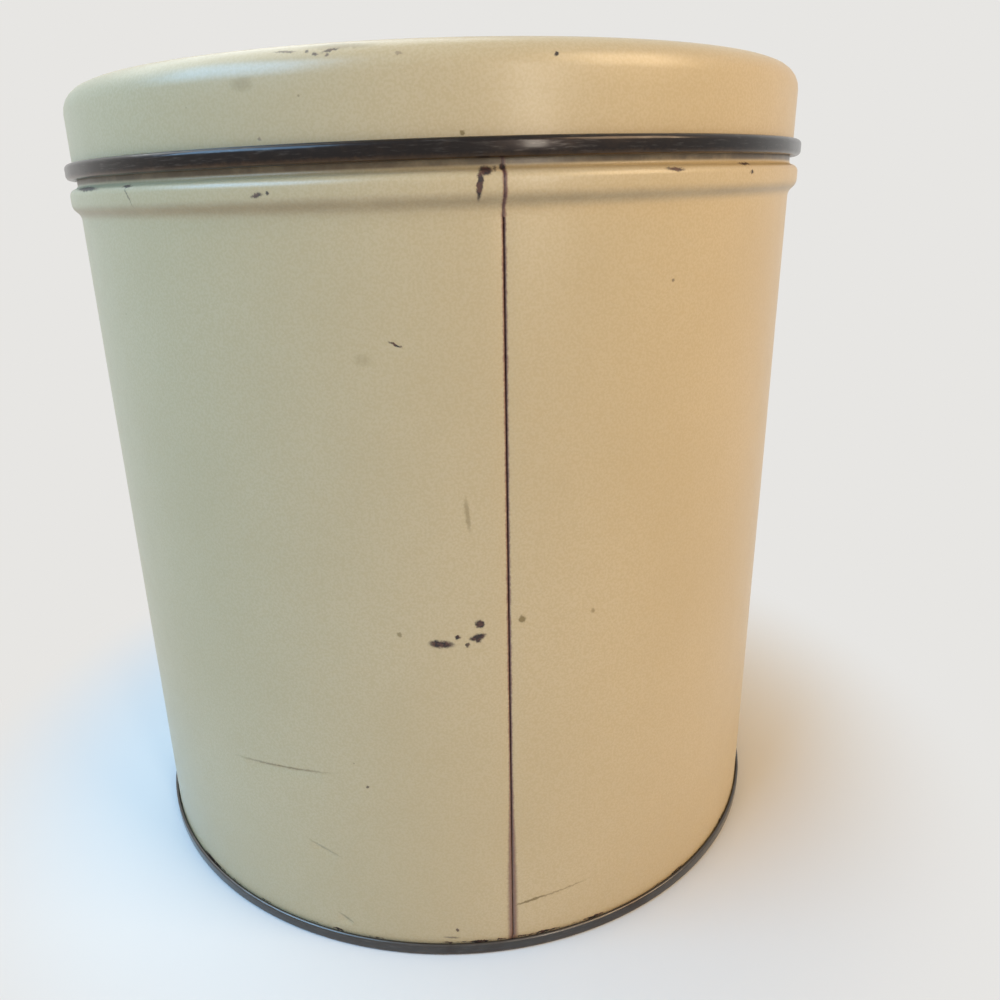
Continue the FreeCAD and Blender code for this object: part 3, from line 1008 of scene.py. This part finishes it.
def finish_tinplate(context, name, dark_from, dark_to, darkest, edge):
    """Bare tinplate, blackened below a band of heights and golden brown along one edge: wear on the body and
    base, a painted reflection of the cream bead under the lid's curl.
    """
    finishes = context.scene.tin_finishes
    material, bench, shader, position = new_material(name)
    wall = bench.group("Unrolled wall", Position=position, Radius=context.scene.tin_sheet.wall_radius / MM)
    place = wall["Place"]
    up = bench.axes(wall["Frayed"])["Y"]
    clouds = bench.noise(place, scale=0.06, detail=5.0, roughness=0.62)
    drawn_out = bench.vector("MULTIPLY", place, (0.25, 0.25, 2.2))
    drawn = bench.noise(drawn_out, scale=1.0, detail=3.0, roughness=0.6)
    stained = bench.ramp(clouds, 0.48, 0.72)
    metal = bench.mix(bench.times(stained, STAIN_STRENGTH), rgba(finishes.tin), rgba(finishes.stain))
    streaks = bench.ramp(drawn, 0.1, 0.5, 0.82, 1.0)
    old = bench.times(bench.ramp(up, dark_from, dark_to, darkest, 0.0), streaks)
    metal = bench.mix(old, metal, rgba(finishes.tarnish))
    mottle = bench.ramp(bench.noise(place, scale=0.35, detail=4.0, roughness=0.7), 0.46, 0.74)
    uneven = bench.ramp(clouds, 0.35, 0.6, 0.4, 1.0)
    # On the lid the golden brown at the curl's lowest edge is a painted reflection of the cream bead below;
    # on the body and base it is wear.
    worn = bench.times(bench.ramp(bench.off(up, edge), 0.0, BROWN_EDGE, 1.0, 0.0), uneven)
    browned_and_reflected = bench.most(bench.times(mottle, MOTTLE_SHARE), worn)
    metal = bench.mix(bench.times(browned_and_reflected, BROWN_STRENGTH), metal, rgba(finishes.stain))
    spots = bench.group("Specks", Place=place, **METAL_SPOTS)["Mask"]
    metal = bench.mix(bench.times(spots, SPOT_STRENGTH), metal, rgba(finishes.rust))
    scratches = bench.group("Fine scratches", Place=place, **METAL_SCRATCHES)["Mask"]
    rough = bench.plus(bench.times(clouds, CLOUD_DULLING), METAL_ROUGHNESS)
    rough = bench.math("ADD", rough, bench.times(spots, SPOT_DULLING), clamp=True)
    height = bench.math("SUBTRACT", bench.times(drawn, DRAWN_LINES), bench.times(scratches, SCRATCH_DEPTH))
    relief = bench.add("ShaderNodeBump", {"Strength": METAL_RELIEF, "Distance": METAL_RELIEF_DEPTH,
                                          "Height": height})
    metallic = bench.ramp(spots, 0.0, 1.0, CLEAN_METALLIC, SPOT_METALLIC)
    bench.feed(shader, {"Base Color": metal, "Roughness": rough, "Metallic": metallic, "Coat Weight": COAT,
                        "Coat Roughness": COAT_ROUGHNESS, "Normal": relief.outputs["Normal"]})
    return material


def body_tinplate(context):
    mouth = context.scene.tin_sheet.mouth_height / MM
    return finish_tinplate(context, "body_tinplate", dark_from=4.0, dark_to=30.0, darkest=0.6, edge=mouth)


def lid_tinplate(context):
    # The golden brown along the curl's lowest edge paints the cream bead's reflection.
    rim = context.scene.tin_ends.lid_rim / MM
    return finish_tinplate(context, "lid_tinplate", dark_from=rim + 4.5, dark_to=rim + 7.0,
                           darkest=1.0, edge=rim)


def base_tinplate(context):
    """The same metal on both sides of the base."""
    known = bpy.data.materials.get("base_tinplate")
    return known or finish_tinplate(context, "base_tinplate", dark_from=3.3, dark_to=4.2,
                                    darkest=0.85, edge=0.0)


# Stage

FLOOR_RADIUS = 6.0
FLOOR_SIDES = 96
FLOOR_OPENING = 0.09             # hidden under the tin, so that light reaches its base
FADE_FROM, FADE_TO = 0.098, 0.175  # from the tin's axis
AIM = Vector((0, 0, 0.11))       # where the lights point
SENSOR_WIDTH = 36                # millimetres
NEAREST_SEEN = 0.01

# Place of each light, and its width and height
LIGHTS = {
    "window": ((-0.85, -0.35, 0.85), (0.9, 0.6)),
    "lamp": ((0.85, -0.65, 0.80), (0.7, 0.6)),
    "strip": ((0.40, -1.13, 0.42), (0.12, 0.5)),
    "top": ((-0.35, 0.45, 1.05), (1.2, 0.9)),
}


def seen_straight(bench, path):
    """1 for what the camera sees, by itself, in a reflection or through something."""
    by_way = bench.most(path["Is Glossy Ray"], path["Is Transmission Ray"])
    return bench.most(path["Is Camera Ray"], by_way)


def floor_material(stage):
    """Pale floor with the tin's shadow, fading into the background. From below it can be seen through."""
    material = bpy.data.materials.new("pale_floor")
    bench = empty_bench(material)
    position = bench.add("ShaderNodeTexCoord").outputs["Object"]
    away = bench.ramp(bench.vector("LENGTH", position), FADE_FROM, FADE_TO)
    paint = bench.add("ShaderNodeBsdfDiffuse", {"Color": rgba(stage.floor)})
    glow = bench.add("ShaderNodeEmission", {"Color": rgba(stage.backdrop)})
    path = bench.add("ShaderNodeLightPath").outputs
    fade = bench.blend(bench.times(away, seen_straight(bench, path)), paint, glow)
    back = bench.add("ShaderNodeNewGeometry").outputs["Backfacing"]
    clear = bench.add("ShaderNodeBsdfTransparent")
    whole = bench.blend(bench.times(back, path["Is Camera Ray"]), fade, clear)
    out = bench.add("ShaderNodeOutputMaterial")
    bench.set(out.inputs["Surface"], whole.outputs[0])
    return material


def pale_world(stage):
    world = bpy.data.worlds.new("pale_room")
    bench = empty_bench(world)
    path = bench.add("ShaderNodeLightPath").outputs
    room = bench.add("ShaderNodeBackground", {"Color": (1.0, 1.0, 1.0, 1.0), "Strength": stage.room_light})
    pale = bench.add("ShaderNodeBackground", {"Color": rgba(stage.backdrop)})
    whole = bench.blend(seen_straight(bench, path), room, pale)
    out = bench.add("ShaderNodeOutputWorld")
    bench.set(out.inputs["Surface"], whole.outputs[0])
    bpy.context.scene.world = world


def soft_light(name, place, size, watts, tint):
    """A rectangular lamp that faces the middle of the tin."""
    bpy.ops.object.light_add(type="AREA", location=place)
    lamp = bpy.context.object
    lamp.name = name
    lamp.data.shape = "RECTANGLE"
    lamp.data.size, lamp.data.size_y = size
    lamp.data.energy = watts
    lamp.data.color = tint
    lamp.rotation_euler = (AIM - Vector(place)).to_track_quat("-Z", "Y").to_euler()


def set_camera(stage):
    """Stands the camera where the picture was taken from."""
    bpy.ops.object.camera_add()
    camera = bpy.context.object
    camera.name = "picture_camera"
    pan, tilt, roll = stage.camera_pan, stage.camera_tilt, stage.camera_roll
    ahead = Vector((math.sin(pan) * math.cos(tilt), math.cos(pan) * math.cos(tilt), -math.sin(tilt)))
    right = Vector((math.cos(pan), -math.sin(pan), 0))
    top = right.cross(ahead)
    rolled_right = math.cos(roll) * right + math.sin(roll) * top
    rolled_top = math.cos(roll) * top - math.sin(roll) * right
    turned = Matrix((rolled_right, rolled_top, -ahead)).transposed().to_4x4()
    stand = Matrix.Translation((0, -stage.camera_distance, stage.camera_height))
    camera.matrix_world = Matrix.Rotation(-stage.camera_round, 4, "Z") @ stand @ turned
    camera.data.sensor_width = SENSOR_WIDTH
    camera.data.lens = stage.lens
    camera.data.shift_x, camera.data.shift_y = stage.shift_x, stage.shift_y
    camera.data.clip_start = NEAREST_SEEN
    bpy.context.scene.camera = camera


class TIN_OT_studio(bpy.types.Operator):
    """Pale floor, soft lights from left, right and above, and the camera"""
    bl_idname = "tin.studio"
    bl_label = "Studio"

    def execute(self, context):
        stage = context.scene.tin_stage
        clear_selection()
        bpy.ops.mesh.primitive_circle_add(vertices=FLOOR_SIDES, radius=FLOOR_RADIUS, fill_type="NGON")
        floor = context.object
        floor.name = "studio_floor"
        edit_mode()
        bpy.ops.mesh.select_all(action="SELECT")
        bpy.ops.mesh.inset(thickness=FLOOR_RADIUS - FLOOR_OPENING)
        bpy.ops.mesh.delete(type="FACE")
        object_mode()
        floor.data.materials.append(floor_material(stage))
        for name, (place, size) in LIGHTS.items():
            watts, tint = getattr(stage, name + "_watts"), getattr(stage, name + "_tint")
            soft_light(name + "_light", place, size, watts, tint)
        pale_world(stage)
        set_camera(stage)
        context.scene.view_settings.view_transform = "Standard"
        return {"FINISHED"}


class TIN_PT_panel(bpy.types.Panel):
    """The tin's sizes and finishes, and a button for each piece"""
    bl_idname = "TIN_PT_panel"
    bl_label = "Slip-lid tin"
    bl_space_type = "VIEW_3D"
    bl_region_type = "UI"
    bl_category = "Tin"

    def draw(self, context):
        for operator in OPERATORS:
            self.layout.operator(operator.bl_idname)
        for key in SETTINGS:
            group = getattr(context.scene, key)
            for prop in group.bl_rna.properties:
                if prop.identifier not in ("rna_type", "name"):
                    self.layout.prop(group, prop.identifier)


OPERATORS = (TIN_OT_body_shell, TIN_OT_base_shell, TIN_OT_lid_shell, TIN_OT_studio)
SETTINGS = {
    "tin_sheet": TinSheetSizes,
    "tin_ends": TinEndSizes,
    "tin_finishes": TinFinishes,
    "tin_stage": TinStage,
}


def register():
    for cls in (*SETTINGS.values(), *OPERATORS, TIN_PT_panel):
        bpy.utils.register_class(cls)
    for key, cls in SETTINGS.items():
        setattr(bpy.types.Scene, key, bpy.props.PointerProperty(type=cls))


def unregister():
    for key in SETTINGS:
        delattr(bpy.types.Scene, key)
    for cls in reversed((*SETTINGS.values(), *OPERATORS, TIN_PT_panel)):
        bpy.utils.unregister_class(cls)


def main():
    register()
    bpy.ops.tin.body_shell()
    bpy.ops.tin.base_shell()
    bpy.ops.tin.lid_shell()
    bpy.ops.tin.studio()


if __name__ == "__main__":
    main()
